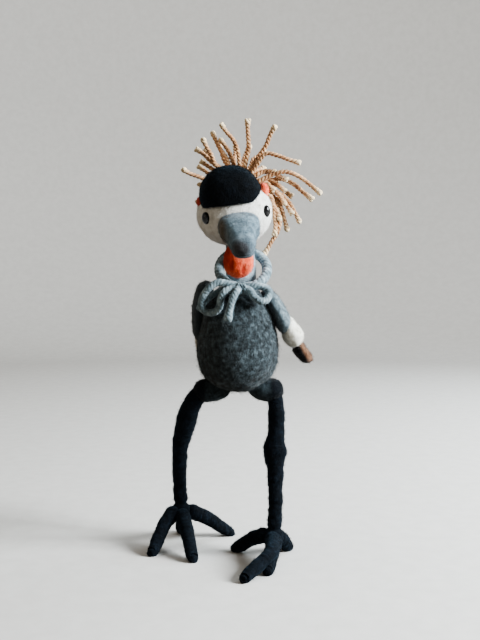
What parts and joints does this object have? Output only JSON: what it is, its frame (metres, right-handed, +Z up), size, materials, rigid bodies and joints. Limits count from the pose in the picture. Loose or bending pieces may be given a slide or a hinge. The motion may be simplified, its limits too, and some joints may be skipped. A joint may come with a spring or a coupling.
{
  "type": "needle-felted wool toy of a grey crowned crane",
  "caption": "Felted wool crane toy standing on its own feet, with a black cap, a fan of straw yarn behind the head, a tied yarn scarf and long dark legs.",
  "frame": {"origin": "on the floor, under the middle of the toy's bounding box", "axes": "+Z up, the toy faces -Y, its own left side is +X"},
  "size_m": [0.153, 0.1564, 0.3798],
  "materials": {
    "charcoal_felt": "mottled charcoal grey needle felt, dry and fuzzy",
    "thigh_felt": "dark charcoal needle felt, dry and fuzzy",
    "pale_felt": "pale grey needle felt",
    "white_felt": "off-white needle felt with a soft halo of fibres",
    "black_felt": "deep black dense felt with a short nap",
    "slate_felt": "smooth blue-grey needle felt",
    "red_felt": "orange-red needle felt",
    "bead": "shiny black bead",
    "straw_yarn": "straw-coloured wool yarn with paler knotted tips",
    "grey_yarn": "soft blue-grey two-ply wool yarn",
    "grey_felt": "blue-grey needle felt",
    "cream_felt": "cream needle felt",
    "brown_felt": "dark brown and black needle felt",
    "navy_wool": "near-black navy wool wound tightly round a core"
  },
  "bodies": {
    "root": {"torso": "charcoal_felt", "tail": "charcoal_felt", "neck": "pale_felt", "head": "white_felt", "cap": "black_felt", "bill_upper": "slate_felt", "bill_lower": "slate_felt", "eye_left": "bead", "eye_right": "bead", "patch_left": "red_felt", "patch_right": "red_felt", "crown": "straw_yarn", "wattle": "red_felt", "scarf_ring": "grey_yarn", "scarf_knot": "grey_yarn", "scarf_loop_left": "grey_yarn", "scarf_loop_right": "grey_yarn", "scarf_end_left": "grey_yarn", "scarf_end_right": "grey_yarn", "wing_left_grey": "grey_felt", "wing_left_cream": "cream_felt", "wing_left_tip": "brown_felt", "wing_right_grey": "grey_felt", "wing_right_cream": "cream_felt", "wing_right_tip": "brown_felt", "thigh_left": "thigh_felt", "thigh_right": "thigh_felt", "shank_left": "navy_wool", "shank_right": "navy_wool", "foot_left": "navy_wool", "foot_right": "navy_wool"}
  },
  "joints": []
}
